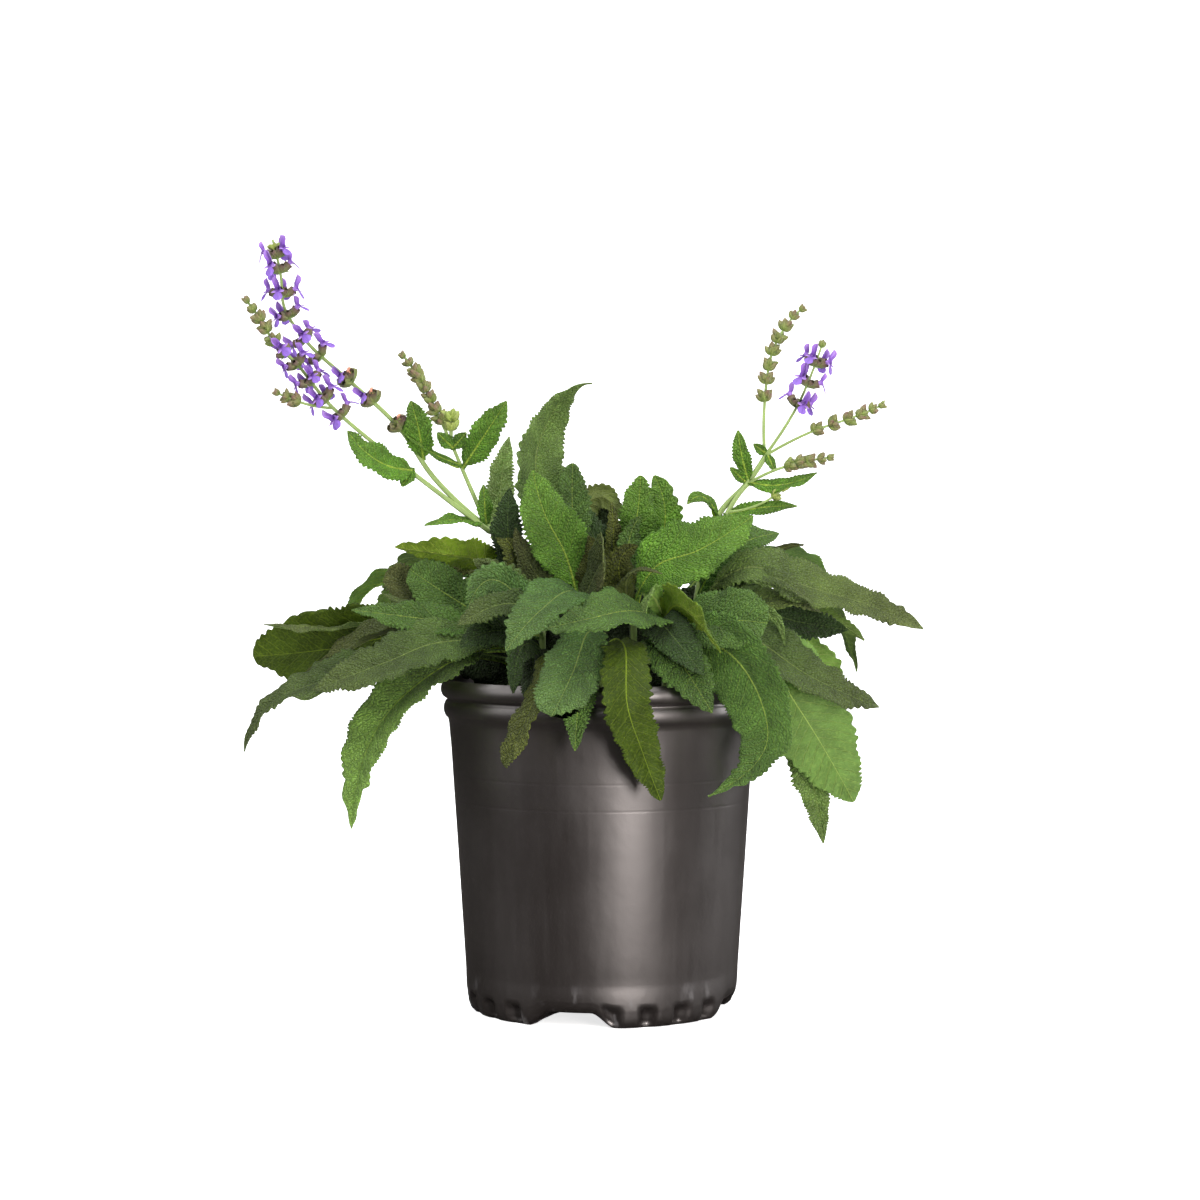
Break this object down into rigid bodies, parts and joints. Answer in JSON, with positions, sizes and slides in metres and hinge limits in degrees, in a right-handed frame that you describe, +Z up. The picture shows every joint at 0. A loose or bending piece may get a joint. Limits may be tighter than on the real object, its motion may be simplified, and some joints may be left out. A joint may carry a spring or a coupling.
{
  "type": "perennial salvia in a nursery pot",
  "caption": "Bushy perennial salvia with quilted toothed leaves and violet flower spikes, growing in potting soil in a tapering black plastic nursery pot.",
  "frame": {"origin": "on the pot's axis, at the height of the ground that its feet stand on", "axes": "+Z up along the pot's axis, -Y towards the side that the picture shows, +X to the right in it"},
  "size_m": [0.3458, 0.2461, 0.395],
  "materials": {
    "pot_plastic": "satin black polyethylene",
    "soil": "dark bark and peat potting mix",
    "leaf": "quilted grey-green leaves",
    "stem_and_flower": "green stems with violet flowers"
  },
  "bodies": {
    "root": {"pot": "pot_plastic", "potting_soil": "soil", "leafy_shoot_left": "leaf", "leafy_shoot_left_front": "leaf", "leafy_shoot_front": "leaf", "leafy_shoot_right_front": "leaf", "leafy_shoot_centre_left": "leaf", "leafy_shoot_centre_right": "leaf", "leafy_shoot_right": "leaf", "leafy_shoot_back_left": "leaf", "leafy_shoot_back": "leaf", "leafy_shoot_back_right": "leaf", "flowering_stem_left": "stem_and_flower", "flowering_stem_right": "stem_and_flower"}
  },
  "joints": []
}
